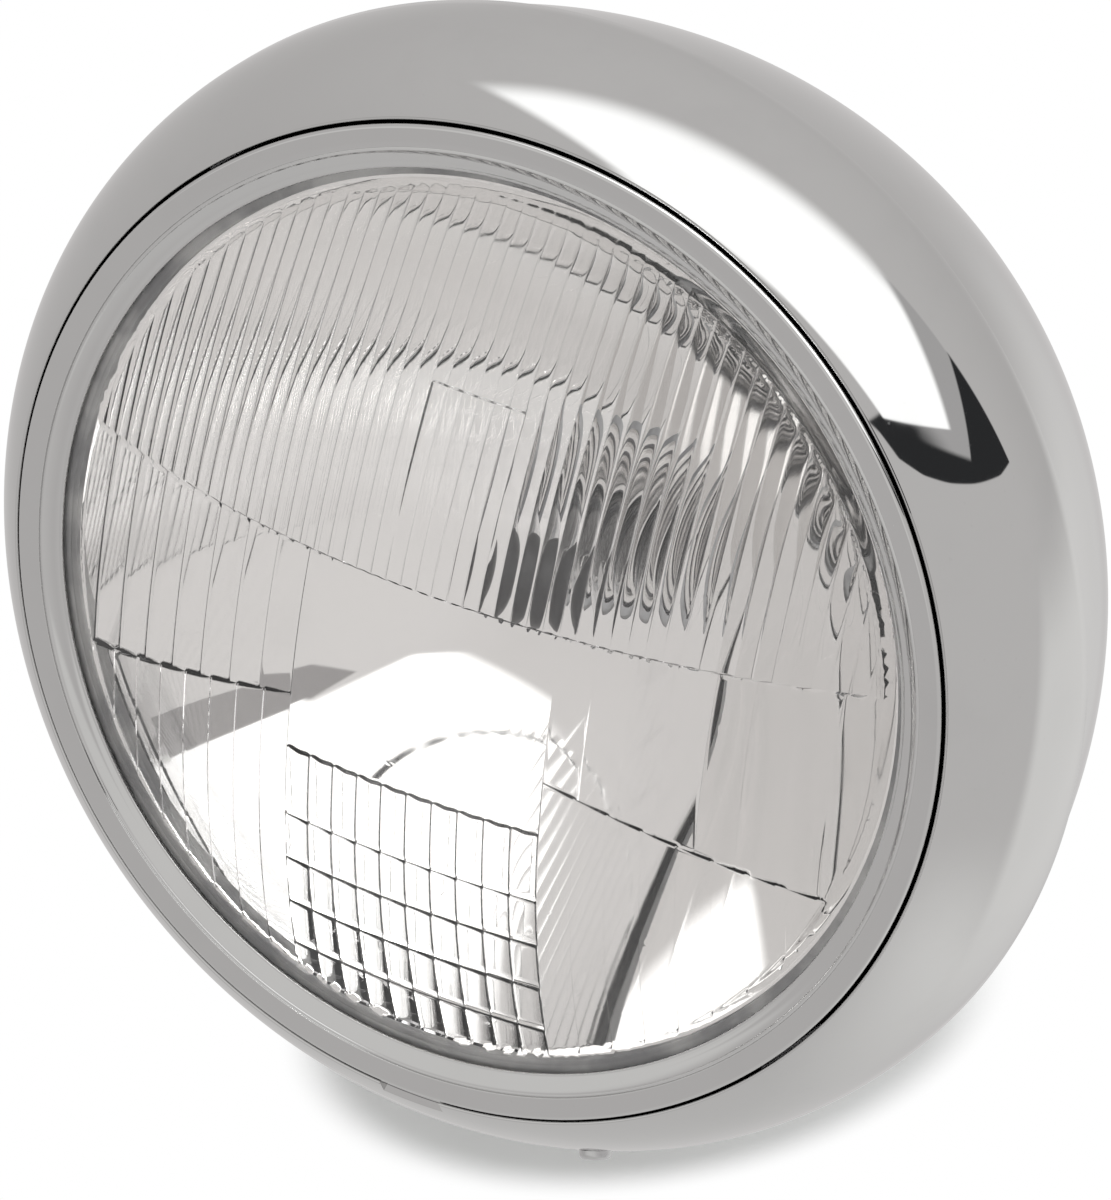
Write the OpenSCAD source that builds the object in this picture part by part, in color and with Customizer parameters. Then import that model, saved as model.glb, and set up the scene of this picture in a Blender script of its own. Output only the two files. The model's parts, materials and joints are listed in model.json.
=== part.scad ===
// Round motorcycle headlight with a fluted glass, an inset lens unit and a
// spun front bell over a deep bucket. It is fixed by a threaded boss below.
// Lamp pieces are drawn in a lamp frame: X to the right, Y up and Z forwards
// from the plane of the trim ring's outer edge. Profiles are [radius, forward].

/* [Front bell] */
// How far the bell stands out past the trim ring
bell_flare = 13.3; // [12:0.1:18]
// Radius of the bell's rounded section
bell_arc_r = 34.3; // [32:0.1:38]
// Depth of the bell's widest place
bell_depth = 27.5; // [26:0.1:32]
// Length of the straight stretch behind the widest place
bell_skirt = 3; // [2:0.1:6]
// Sheet thickness of the bell
bell_wall = 1; // [0.8:0.1:1.2]
// Gap between the trim ring and the bell's lip
lip_gap = 1; // [0.6:0.1:1.6]
// Depth of the flange that is turned in behind the lip
lip_flange = 6; // [4:0.5:8]
// Width of the notch in the lip at six o'clock
notch_w = 12; // [8:0.5:18]
// Depth of that notch
notch_d = 2.4; // [1:0.1:4]

/* [Bucket] */
// Depth of that curve's centre
bowl_centre_depth = 5.1; // [2:0.1:10]
// Sheet thickness of the bucket
bucket_wall = 1.2; // [1:0.1:1.6]
// Radial gap where the bell slides over the bucket
seam_gap = 0.4; // [0.2:0.1:0.6]
// Length of the bucket's band inside the bell
band_len = 5.5; // [4:0.1:6]
// Radius at which the flatter back begins
back_r = 55; // [40:1:70]
// Depth at which the flatter back begins
back_depth = 105.9; // [98:0.1:112]
// Radius of the flat in the middle of the back
back_flat_r = 14; // [12:0.5:20]

/* [Mounting boss] */
// Distance of the boss behind the trim ring's edge
boss_back = 60; // [50:1:70]
// Radius of the boss
boss_r = 13; // [11:0.5:16]
// How far the boss's face lies below the bell
boss_drop = 2.7; // [1:0.1:8]
// Radius of the threaded bore
boss_bore_r = 4.25; // [4:0.05:5]
// Radius of the spigot that passes through the bucket
spigot_r = 9; // [7:0.5:10]
// Length of the inner stiffening plate along the lamp
stiffener_len = 44; // [36:1:50]
// Width of the inner stiffening plate
stiffener_w = 56; // [40:1:70]
// Thickness of the inner stiffening plate
stiffener_t = 2; // [1.5:0.1:3]

/* [Lens] */
// Outer radius of the trim ring
ring_r = 92; // [90:0.1:94]
// Width of the trim ring's face, from its edge to the glass
ring_face = 8.6; // [7:0.1:10]
// Depth of the dome's edge behind the ring's edge
lens_drop = 1.95; // [1:0.05:4]
// Height of the dome in front of the ring's edge
dome_h = 21.5; // [18:0.1:24]
// Thickness of the glass
glass_t = 3.5; // [3:0.1:4]
// Width of the clear rim around the flutes
rim_w = 4.4; // [3:0.1:8]
// Lower edge of the fine flutes above the centre
fine_z = 12.4; // [8:0.1:20]
// Pitch of the fine flutes
fine_pitch = 3.04; // [2.6:0.02:4]
// Depth of the fine flutes
fine_h = 0.12; // [0.06:0.02:0.4]
// Pitch of the wide side flutes
wide_pitch = 6.6; // [5:0.1:8]
// Depth of the wide side flutes
wide_h = 0.2; // [0.1:0.02:0.6]
// Pitch of the lower side prisms
low_pitch = 5.9; // [5:0.1:7]
// Depth of the lower side prisms
low_h = 0.7; // [0.4:0.05:1.1]
// Width of the window in the fine flutes
window_w = 18.24; // [12:0.01:30]
// Top edge of the window above the centre
window_z = 47.7; // [40:0.1:54]
// Half width of the prism block
block_x = 25; // [20:0.5:30]
// Top edge of the prism block below the centre
block_z = 26.2; // [22:0.1:32]
// Number of prism columns
block_cols = 10; // [8:1:12]
// Height of the first row of prisms
first_row = 14.2; // [9:0.1:16]
// Number of prism rows
block_rows = 5; // [3:1:7]
// Start of the kinked line below the centre
kink_z = 15.7; // [12:0.1:20]
// Slope of the kinked line
kink_deg = 15; // [10:1:20]

/* [Trim ring and carrier] */
// Sheet thickness of the trim ring
ring_wall = 0.8; // [0.6:0.1:1]
// Depth of the trim ring's skirt
ring_skirt = 14; // [12:0.5:15]
// Width of the glass flange under the trim ring
flange_w = 4.9; // [4:0.1:6]
// Thickness of the seal between glass and reflector
seal_t = 2; // [1.5:0.1:2.5]
// Sheet thickness of the carrier ring
carrier_t = 1.2; // [1:0.1:1.5]
// Number of fixing ears and brackets
ears = 4; // [3:1:6]
// Width of an ear
ear_w = 16; // [12:0.5:20]
// Distance of the carrier screws outside the trim ring's edge
ear_reach = 3; // [2.5:0.1:4]
// Radius of a carrier screw's shank
carrier_screw_r = 2; // [1.5:0.1:2.2]
// Radius of a ring screw's shank
ring_screw_r = 1.5; // [1.2:0.1:2]

/* [Reflector and bulb] */
// How far the reflector's opening lies inside the dome's edge
mirror_inset = 3.2; // [2:0.1:6]
// Depth of the reflector from its opening to its vertex
mirror_depth = 54; // [50:0.1:66]
// Sheet thickness of the reflector
reflector_t = 0.8; // [0.6:0.1:1]
// Radius of the bulb hole
bulb_hole_r = 19; // [18:0.1:20]
// Depth of the bulb's seat behind the bulb hole's edge
seat_drop = 1.8; // [1.6:0.1:3]
// Length of the bulb in front of its flange
bulb_len = 43; // [40:0.5:46]
// Radius of the bulb's glass
bulb_r = 8.5; // [8:0.1:9]
// Radius of the bulb's flange
bulb_flange_r = 21.5; // [21:0.1:22]

/* [Small parts] */
// Radius of the shank of the bell's clamp screw
clamp_r = 2; // [1.5:0.1:2.5]
// Angle of the clamp screw from six o'clock
clamp_phi = 16; // [12:1:24]
// Depth of the clamp screw behind the ring's edge
clamp_depth = 19.6; // [17:0.1:21]
// Radius of the hole through the rubber grommet
wire_r = 4.5; // [3:0.1:6]
// Clearance of a screw in a plain hole
screw_clear = 0.25; // [0.15:0.05:0.5]
// Clearance of a screw in its thread
thread_clear = 0.05; // [0.02:0.01:0.1]
// Clearance between pieces that sit side by side
seat_gap = 0.3; // [0.2:0.05:0.4]
// Room left between pieces that are welded face to face
weld_gap = 0.02; // [0.01:0.01:0.05]

/* [Hidden] */
$fn = 120;
big = 400;
chrome = [0.78, 0.78, 0.77];
steel = [0.6, 0.61, 0.62];
rubber = [0.12, 0.12, 0.12];
sealant = [0.85, 0.86, 0.85];
clear_glass = [0.85, 0.88, 0.88, 0.5];

// Bell: the section is an arc from the widest place to the lip
bell_r = ring_r + bell_flare;
lip_r = ring_r + lip_gap;
bell_c = [bell_r - bell_arc_r, -bell_depth];
lip_deg = acos((lip_r - bell_c[0]) / bell_arc_r);
lip_z = bell_c[1] + bell_arc_r * sin(lip_deg);
bell_back = -bell_depth - bell_skirt;

// Bucket: a band inside the bell, a long curve and a flatter back
band_r = bell_r - bell_wall - seam_gap;
band_drop = -bell_back - bowl_centre_depth;
back_drop = back_depth - bowl_centre_depth;
bowl_c = [(pow(band_r, 2) + pow(band_drop, 2) - pow(back_r, 2) - pow(back_drop, 2)) / (2 * (band_r - back_r)),
          -bowl_centre_depth];
bowl_arc_r = norm([band_r - bowl_c[0], band_drop]);
bowl_front_deg = asin(band_drop / bowl_arc_r);
bowl_back_deg = asin(back_drop / bowl_arc_r);
cap_r = back_r / cos(bowl_back_deg);
cap_c = [0, bowl_c[1] - (bowl_arc_r - cap_r) * sin(bowl_back_deg)];
cap_end_deg = acos(back_flat_r / cap_r);
back_z = cap_c[1] - cap_r * sin(cap_end_deg);

// Mounting boss: the part's origin is the middle of its lower face
boss_deg = asin((boss_back - bowl_centre_depth) / bowl_arc_r);
bowl_r_at_boss = bowl_c[0] + bowl_arc_r * cos(boss_deg);
axis_h = bell_r + boss_drop;
boss_len = axis_h - bowl_r_at_boss;
spigot_len = 6;

// Glass dome and the stack behind it
lens_r = ring_r - ring_face;
field_r = lens_r - rim_w;
lens_edge = -lens_drop;
dome_rise = dome_h + lens_drop;
dome_r = (pow(lens_r, 2) + pow(dome_rise, 2)) / (2 * dome_rise);
dome_c = dome_h - dome_r;
flange_r = lens_r + flange_w;
glass_back = lens_edge - glass_t;
reflector_front = glass_back - seal_t;
carrier_front = reflector_front - reflector_t;
inner_dome_r = dome_r - glass_t;
pad_back = 0.15;
pad_root = 1;
row_step = 0.22;
window_step = 0.25;
block_row = (field_r - block_z - first_row) / (block_rows - 1);

// Carrier: its skirt stands inside the trim ring's skirt
carrier_r = ring_r - ring_wall - 0.3;
ear_pcr = ring_r + ear_reach;
ear_front = -17.2;
ear_back = ear_front - carrier_t;
ear_tip_r = ear_pcr + 4;
bracket_t = 1.5;

// Reflector and bulb
open_r = lens_r - mirror_inset;
focal = pow(open_r, 2) / (4 * mirror_depth);
vertex_z = reflector_front - mirror_depth;
bulb_plane = vertex_z + pow(bulb_hole_r, 2) / (4 * focal) - seat_drop;
bulb_tip = bulb_plane + bulb_len;
bulb_flange_t = 1.2;
bulb_neck_r = 10.5;
bulb_neck_len = 10;
base_len = 13.7;
base_back = bulb_plane - base_len;
base_r = 11;
shield_start = bulb_plane + bulb_neck_len + 3;
shield_r = 5.2;
shield_len = 9;
post_len = 10;
post_gap = 2.6;
blade_w = 8;
blade_t = 0.8;
blade_len = 9;
collar_t = 1.2;
clip_wire_r = 0.6;
clip_ring_r = 15;
boot_t = 1.5;

// Clamp screw: it stands square to the bell's surface
clamp_deg = asin((bell_depth - clamp_depth) / bell_arc_r);
tongue_t = 1.5;
tongue_out_r = band_r - bucket_wall - bell_c[0];
hook_w = 11;
hook_rise = 1.3;
hook_tip = 1.6;
screw_back = 12;
nut_w = 8;
nut_t = 3;

// Wire entry in the middle of the bucket's back
entry_r = 8;
grommet_r = 10.6;
grommet_out = 2.6;

function arc(c, r, a0, a1, n) =
    [for (i = [0:n]) let (a = a0 + (a1 - a0) * i / n) [c[0] + r * cos(a), c[1] + r * sin(a)]];
function flip(list) = [for (i = [len(list) - 1:-1:0]) list[i]];

// Puts lamp frame pieces at their height over the mounting face
module on_axis() {
    translate([0, -boss_back, axis_h]) rotate([90, 0, 0]) children();
}

module revolve(points) {
    rotate_extrude() polygon(points);
}

// Repeats a piece that is drawn at three o'clock
module around(n, first) {
    for (i = [0:n - 1]) rotate([0, 0, first + 360 * i / n]) children();
}

// Keeps the stretch of a ring that lies in a band of width w at angle a
module sector(a, w) {
    intersection() {
        children();
        rotate([0, 0, a]) translate([0, -w / 2, -big / 2]) cube([big, w, big]);
    }
}

// A frame on the bell's skin under the clamp screw, with Z outwards
module at_clamp() {
    rotate([0, 0, clamp_phi - 90])
        translate([bell_c[0] + bell_arc_r * cos(clamp_deg), 0, bell_c[1] + bell_arc_r * sin(clamp_deg)])
            rotate([0, 90 - clamp_deg, 0])
                children();
}

module bell_profile() {
    outer = concat([[bell_r, bell_back]], arc(bell_c, bell_arc_r, 0, lip_deg, 24));
    inner = arc(bell_c, bell_arc_r - bell_wall, lip_deg - 3, 0, 24);
    polygon(concat(outer,
        [[lip_r, lip_z - lip_flange], [lip_r + bell_wall, lip_z - lip_flange]],
        [for (p = inner) if (p[0] > lip_r + bell_wall) p],
        [[bell_r - bell_wall, bell_back]]));
}

module front_bell() {
    color(chrome) on_axis() difference() {
        rotate_extrude() bell_profile();
        translate([-notch_w / 2, -lip_r - 8, lip_z - notch_d]) cube([notch_w, 16, 10]);
        at_clamp() translate([0, 0, -6]) cylinder(r = clamp_r + screw_clear, h = 12, $fn = 40);
    }
}

// Outside of the bucket, moved in by an inset
function bowl(inset) = concat(
    [[band_r - inset, -bell_depth - bell_skirt + band_len], [band_r - inset, bell_back]],
    arc(bowl_c, bowl_arc_r - inset, -bowl_front_deg, -bowl_back_deg, 24),
    arc(cap_c, cap_r - inset, -bowl_back_deg, -cap_end_deg, 16));

module bucket_shell(inset, t) {
    revolve(concat(bowl(inset), [[0, back_z + inset], [0, back_z + inset + t]], flip(bowl(inset + t))));
}

module bucket() {
    color(chrome) on_axis() difference() {
        bucket_shell(0, bucket_wall);
        translate([0, 0, back_z - 5]) cylinder(r = entry_r, h = 12, $fn = 60);
        translate([0, -bowl_r_at_boss + 10, -boss_back]) rotate([90, 0, 0])
            cylinder(r = spigot_r + 0.1, h = 20, $fn = 60);
        translate([-hook_w / 2 - 0.5, band_r - 6, bell_back + 1]) cube([hook_w + 1, 12, 3.2]);
    }
}

// Lamp frame solid that fills the bucket's outside
module bowl_solid(inset) {
    revolve(concat([[0, bowl(inset)[0][1]]], bowl(inset), [[0, back_z + inset]]));
}

module mount_boss() {
    color(chrome) difference() {
        union() {
            difference() {
                cylinder(r = boss_r, h = boss_len + 6, $fn = 80);
                on_axis() bowl_solid(0);
            }
            cylinder(r = spigot_r, h = boss_len + spigot_len, $fn = 60);
        }
        translate([0, 0, -1]) cylinder(r = boss_bore_r, h = boss_len + spigot_len + 2, $fn = 60);
    }
}

module mount_stiffener() {
    color(steel) on_axis() difference() {
        intersection() {
            bucket_shell(bucket_wall, stiffener_t);
            translate([-stiffener_w / 2, -bell_r, -boss_back - stiffener_len / 2])
                cube([stiffener_w, bell_r, stiffener_len]);
        }
        translate([0, -bowl_r_at_boss + 12, -boss_back]) rotate([90, 0, 0])
            cylinder(r = spigot_r + 0.1, h = 24, $fn = 60);
    }
}

// Strip that runs back from under the bell along the inside of the bucket's band
module tongue_profile(out_r, front_deg, back) {
    polygon(concat(arc(bell_c, out_r, front_deg, 0, 12),
        [[bell_c[0] + out_r, back], [bell_c[0] + out_r - tongue_t, back]],
        arc(bell_c, out_r - tongue_t, 0, front_deg, 12)));
}

module top_hook() {
    hook_out = tongue_out_r - seat_gap;
    hook_r = bell_c[0] + hook_out;
    back = bell_back + 1.4;
    color(steel) on_axis() sector(90, hook_w) revolve(concat(
        arc(bell_c, bell_arc_r - bell_wall - weld_gap, lip_deg - 18, lip_deg - 28, 6),
        arc(bell_c, hook_out, lip_deg - 28, 0, 12),
        [[hook_r, back + hook_tip], [hook_r + hook_rise, back + hook_tip], [hook_r + hook_rise, back],
         [hook_r - tongue_t, back]],
        arc(bell_c, hook_out - tongue_t, 0, lip_deg - 18, 14)));
}

module clamp_tongue() {
    color(steel) on_axis() difference() {
        sector(clamp_phi - 90, 14) rotate_extrude() tongue_profile(tongue_out_r, clamp_deg + 14, bell_back + 1);
        at_clamp() translate([0, 0, -12]) cylinder(r = clamp_r + screw_clear, h = 12, $fn = 40);
    }
}

module clamp_nut() {
    top = tongue_out_r - tongue_t - bell_arc_r;
    color(steel) on_axis() at_clamp() difference() {
        translate([-nut_w / 2, -nut_w / 2, top - nut_t - 0.4]) cube([nut_w, nut_w, nut_t]);
        translate([0, 0, top - 5]) cylinder(r = clamp_r + thread_clear, h = 8, $fn = 40);
    }
}

module clamp_screw() {
    head = clamp_r * 1.45;
    color(chrome) on_axis() at_clamp() difference() {
        union() {
            translate([0, 0, -10]) cylinder(r = clamp_r, h = 10.2, $fn = 40);
            rotate_extrude($fn = 60) polygon(concat([[0, 0.1], [head, 0.1]],
                [for (a = [0:15:75]) [head - 0.9 + 0.9 * cos(a), 0.9 + 0.9 * sin(a)]], [[0, 1.9]]));
        }
        for (a = [0, 90]) rotate([0, 0, a]) translate([-1.7, -0.35, 0.9]) cube([3.4, 0.7, 2]);
    }
}

module wire_grommet() {
    color(rubber) on_axis() translate([0, 0, back_z]) revolve([
        [wire_r, -grommet_out], [grommet_r - 0.6, -grommet_out], [grommet_r, 0.6 - grommet_out],
        [grommet_r, 0], [entry_r - 0.1, 0], [entry_r - 0.1, bucket_wall],
        [grommet_r - 0.4, bucket_wall], [grommet_r - 1, bucket_wall + grommet_out - 0.6],
        [wire_r, bucket_wall + grommet_out]]);
}

module bell_brackets() {
    inner_r = bell_arc_r - bell_wall - weld_gap;
    foot_deg = asin((bell_depth + ear_front) / inner_r);
    color(steel) on_axis() difference() {
        for (i = [0:ears - 1]) sector(45 + 360 * i / ears, ear_w) rotate_extrude() union() {
            polygon(concat(arc(bell_c, inner_r, foot_deg - 10, foot_deg + 12, 8),
                arc(bell_c, inner_r - bracket_t, foot_deg + 12, foot_deg - 10, 8)));
            polygon([[ear_pcr - 3.2, ear_front], [bell_c[0] + inner_r * cos(foot_deg), ear_front],
                [bell_c[0] + inner_r * cos(foot_deg) - 1, ear_front + bracket_t],
                [ear_pcr - 3.2, ear_front + bracket_t]]);
        }
        around(ears, 45) translate([ear_pcr, 0, ear_front - 4])
            cylinder(r = carrier_screw_r + thread_clear, h = 10, $fn = 40);
    }
}

module carrier_ring() {
    color(steel) on_axis() difference() {
        union() {
            revolve([[open_r + 2, carrier_front], [carrier_r, carrier_front], [carrier_r, ear_back],
                [carrier_r - carrier_t, ear_back], [carrier_r - carrier_t, carrier_front - carrier_t],
                [open_r + 2, carrier_front - carrier_t]]);
            for (i = [0:ears - 1]) sector(45 + 360 * i / ears, ear_w - 2) revolve([
                [carrier_r - carrier_t, ear_back], [ear_tip_r, ear_back], [ear_tip_r, ear_front],
                [carrier_r - carrier_t, ear_front]]);
        }
        around(ears, 45) translate([ear_pcr, 0, ear_back - 2])
            cylinder(r = carrier_screw_r + screw_clear, h = 8, $fn = 40);
        around(ears, 0) translate([carrier_r - 4, 0, -screw_back]) rotate([0, 90, 0])
            cylinder(r = ring_screw_r + thread_clear, h = 8, $fn = 30);
    }
}

module carrier_screws() {
    color(steel) on_axis() around(ears, 45) translate([ear_pcr, 0, ear_back]) difference() {
        union() {
            cylinder(r = carrier_screw_r, h = carrier_t + bracket_t + 2, $fn = 40);
            translate([0, 0, -2.6]) cylinder(r = 3.5, h = 2.6, $fn = 40);
        }
        translate([-4, -0.5, -3]) cube([8, 1, 1.4]);
    }
}

// Face of the trim ring: a rolled edge, a smooth band, a bead and a slope down to the glass
module trim_ring() {
    lip = lens_edge + 0.1;
    band_in = ring_r - 0.49 * ring_face;
    face = concat([[ring_r, -0.8]], arc([ring_r - 0.8, -0.8], 0.8, 10, 80, 6),
        [[ring_r - 2.5, 0], [band_in, -0.2], [band_in - 0.15, -0.5]],
        arc([band_in - 0.6, -0.5], 0.35, 20, 160, 5),
        [[band_in - 1.1, -0.6], [lens_r + 0.2 * ring_face, -0.85], [lens_r + 0.3, lip + 0.35]]);
    color(chrome) on_axis() difference() {
        revolve(concat([[ring_r, -ring_skirt]], face,
            [[lens_r + 0.3, lip], [lens_r + 0.2 * ring_face, lip], [band_in, -0.6 - ring_wall],
             [ring_r - 2.5, -0.2 - ring_wall], [ring_r - ring_wall, -0.8 - ring_wall],
             [ring_r - ring_wall, -ring_skirt]]));
        around(ears, 0) translate([ring_r - 4, 0, -screw_back]) rotate([0, 90, 0])
            cylinder(r = ring_screw_r + screw_clear, h = 8, $fn = 30);
    }
}

module ring_screws() {
    shank = 3.6;
    head_h = 1.4;
    color(steel) on_axis() around(ears, 0) translate([ring_r, 0, -screw_back]) rotate([0, 90, 0])
        difference() {
            union() {
                translate([0, 0, -shank]) cylinder(r = ring_screw_r, h = shank + 0.1, $fn = 30);
                cylinder(r = 1.7 * ring_screw_r, h = head_h, $fn = 30);
            }
            translate([-2 * ring_screw_r, -0.3, head_h / 2]) cube([4 * ring_screw_r, 0.6, head_h]);
        }
}

// Cross section of a row of rounded flutes between x0 and x1, on the inner dome
function flute(x0, x1, pitch, h, base) = let (n = round((x1 - x0) / pitch), p = (x1 - x0) / n)
    [for (i = [0:n * 4]) let (x = x0 + p * i / 4, u = (i % 4) / 4)
        [sqrt(pow(inner_dome_r - base, 2) - x * x) - 4 * h * u * (1 - u), x]];
// The same for prisms that grow thicker away from the middle and step back
function wedge(x0, x1, pitch, h, base) = let (n = round((x1 - x0) / pitch), p = (x1 - x0) / n, out = x0 + x1 > 0)
    [for (i = [0:n - 1], end = [0, 1]) let (x = x0 + p * (i + end), thick = out == (end == 1) ? h : 0)
        [sqrt(pow(inner_dome_r - base, 2) - x * x) - thick, x]];
function flute_root(x0, x1) =
    [for (i = [0:16]) let (x = x1 - (x1 - x0) * i / 16) [sqrt(pow(inner_dome_r + pad_root, 2) - x * x), x]];

// A patterned pad on the inside of the dome, cut to the outline given as children
module pad(x0, x1, section) {
    intersection() {
        translate([0, 0, dome_c]) rotate([0, 90, 0]) rotate_extrude($fn = 240)
            polygon(concat(section, flute_root(x0, x1)));
        translate([0, 0, dome_c + dome_r / 2]) linear_extrude(height = dome_r) children();
    }
}

module flute_pad(x0, x1, pitch, h, base) {
    pad(x0, x1, flute(x0, x1, pitch, h, base)) children();
}

module side_outline(side, top, kink_above) {
    slope = tan(kink_deg);
    far = field_r + 5;
    near_z = -kink_z;
    far_z = -kink_z - (far - block_x) * slope;
    intersection() {
        circle(r = field_r, $fn = 180);
        scale([side, 1]) polygon(kink_above
            ? [[block_x, near_z], [far, far_z], [far, top], [block_x, top]]
            : [[block_x, near_z], [block_x, -far], [far, -far], [far, far_z]]);
    }
}

module lens() {
    color(clear_glass) on_axis() {
        difference() {
            union() {
                intersection() {
                    translate([0, 0, dome_c]) sphere(r = dome_r, $fn = 240);
                    translate([0, 0, glass_back]) cylinder(r = lens_r, h = dome_r, $fn = 180);
                }
                translate([0, 0, glass_back]) cylinder(r = flange_r, h = glass_t, $fn = 180);
            }
            translate([0, 0, dome_c]) sphere(r = inner_dome_r, $fn = 240);
        }
        flute_pad(-field_r, field_r, fine_pitch, fine_h, pad_back) intersection() {
            circle(r = field_r, $fn = 180);
            translate([-big / 2, fine_z]) square([big, big]);
        }
        flute_pad(-window_w / 2, window_w / 2, fine_pitch, fine_h, pad_back + window_step)
            translate([-window_w / 2, fine_z]) square([window_w, window_z - fine_z]);
        for (side = [-1, 1]) {
            x0 = side > 0 ? block_x : -field_r;
            x1 = side > 0 ? field_r : -block_x;
            flute_pad(x0, x1, wide_pitch, wide_h, pad_back) side_outline(side, fine_z - 0.4, true);
            pad(x0, x1, wedge(x0, x1, low_pitch, low_h, 2 * pad_back)) side_outline(side, 0, false);
        }
        for (row = [0:block_rows - 1]) {
            top = row == 0 ? block_z : block_z + first_row + (row - 1) * block_row;
            tall = row == 0 ? first_row : block_row;
            flute_pad(-block_x, block_x, 2 * block_x / block_cols, fine_h, 2 * pad_back + row * row_step)
                intersection() {
                    circle(r = field_r, $fn = 180);
                    translate([-big / 2, -top - tall]) square([big, tall]);
                }
        }
    }
}

module lens_seal() {
    color(sealant) on_axis() revolve([[open_r + 1, reflector_front], [flange_r, reflector_front],
        [flange_r, glass_back], [open_r + 4.2, glass_back], [open_r + 1, glass_back - 0.4]]);
}

function mirror_curve(t, r0, r1, n) = [for (i = [0:n])
    let (r = r0 + (r1 - r0) * i / n, s = atan(r / (2 * focal)))
        [r + t * sin(s), vertex_z + r * r / (4 * focal) - t * cos(s)]];

module reflector() {
    color([0.8, 0.8, 0.8]) on_axis() revolve(concat(mirror_curve(0, bulb_hole_r, open_r, 36),
        [[flange_r, reflector_front], [flange_r, reflector_front - reflector_t],
         [open_r + 1.4, reflector_front - reflector_t]],
        [for (p = mirror_curve(reflector_t, open_r, bulb_hole_r, 36))
            if (p[1] < reflector_front - reflector_t) p]));
}

module bulb_collar() {
    foot = mirror_curve(reflector_t + weld_gap, bulb_hole_r, bulb_hole_r + 6, 6);
    collar_r = bulb_flange_r + 2.3;
    color(steel) on_axis() revolve(concat(foot,
        [[collar_r, foot[6][1] - 2], [collar_r, bulb_plane - 4], [collar_r - collar_t, bulb_plane - 4],
         [collar_r - collar_t, bulb_plane], [bulb_hole_r - 2, bulb_plane], [bulb_hole_r - 2, foot[0][1]]]));
}

module bulb_base() {
    color(steel) on_axis() union() {
        translate([0, 0, bulb_plane - bulb_flange_t]) cylinder(r = bulb_flange_r, h = bulb_flange_t, $fn = 90);
        translate([0, 0, bulb_plane - bulb_flange_t]) cylinder(r = bulb_neck_r, h = bulb_flange_t + bulb_neck_len, $fn = 60);
        translate([0, 0, base_back]) cylinder(r = base_r, h = bulb_plane - base_back - bulb_flange_t / 2, $fn = 60);
    }
}

function capsule(r, z0, tip) = concat([[0, z0], [r, z0]], arc([0, tip - r], r, 0, 90, 10));

module bulb_glass() {
    glass_z = bulb_plane + bulb_neck_len;
    color(clear_glass) on_axis() difference() {
        revolve(capsule(bulb_r, glass_z, bulb_tip));
        revolve(capsule(bulb_r - 1, glass_z + 3, bulb_tip - 1));
    }
}

module bulb_shield() {
    cup_z = shield_start + post_len;
    color(steel) on_axis() {
        for (x = [-post_gap, 0, post_gap]) translate([x, -1, shield_start])
            cylinder(r = 0.5, h = post_len, $fn = 20);
        difference() {
            translate([0, 0, cup_z]) cylinder(r = shield_r, h = shield_len, $fn = 40);
            translate([0, 0, cup_z + 0.6]) cylinder(r = shield_r - 0.5, h = shield_len, $fn = 40);
            translate([-8, 1.2, cup_z - 5]) cube([16, 10, 20]);
        }
    }
}

module bulb_contacts() {
    color(steel) on_axis() translate([0, 0, base_back - blade_len]) {
        translate([-blade_w / 2, 6.2, 0]) cube([blade_w, blade_t, blade_len]);
        for (x = [-6.2 - blade_t, 6.2]) translate([x, -6, 0]) cube([blade_t, blade_w, blade_len]);
    }
}

module bulb_clip() {
    z = bulb_plane - bulb_flange_t - clip_wire_r;
    reach = bulb_flange_r + 0.8;
    color(steel) on_axis() translate([0, 0, z]) union() {
        rotate_extrude($fn = 90) translate([clip_ring_r, 0]) circle(r = clip_wire_r, $fn = 16);
        for (side = [0, 180]) rotate([0, 0, side]) translate([clip_ring_r, 0, 0]) rotate([0, 90, 0])
            cylinder(r = clip_wire_r, h = reach - clip_ring_r, $fn = 16);
    }
}

module bulb_boot() {
    in_r = bulb_flange_r + 2.4;
    lip_r0 = base_r + 0.1;
    back = base_back - 0.5;
    color(rubber) on_axis() revolve([[in_r, bulb_plane + 1], [in_r + boot_t, bulb_plane + 1],
        [in_r + boot_t, bulb_plane - 5.5], [in_r - 2, bulb_plane - 7.6], [in_r - 1.2, bulb_plane - 8.6],
        [lip_r0 + boot_t, back + 4], [lip_r0 + boot_t, back], [lip_r0, back], [lip_r0, back + 5],
        [in_r - 3, bulb_plane - 7], [in_r - 3, bulb_plane - 6.2], [in_r, bulb_plane - 4.6]]);
}

front_bell();
bucket();
mount_boss();
mount_stiffener();
top_hook();
clamp_tongue();
clamp_nut();
clamp_screw();
wire_grommet();
bell_brackets();
carrier_ring();
carrier_screws();
trim_ring();
ring_screws();
lens();
lens_seal();
reflector();
bulb_collar();
bulb_base();
bulb_glass();
bulb_shield();
bulb_contacts();
bulb_clip();
bulb_boot();
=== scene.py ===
"""Dresses the round motorcycle headlight: chrome bell and bucket, trim ring, fluted glass,
reflector, bulb and fixings, with a plain studio around it."""
import json
import math

import bmesh
import bpy
from mathutils import Matrix, Vector


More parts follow.
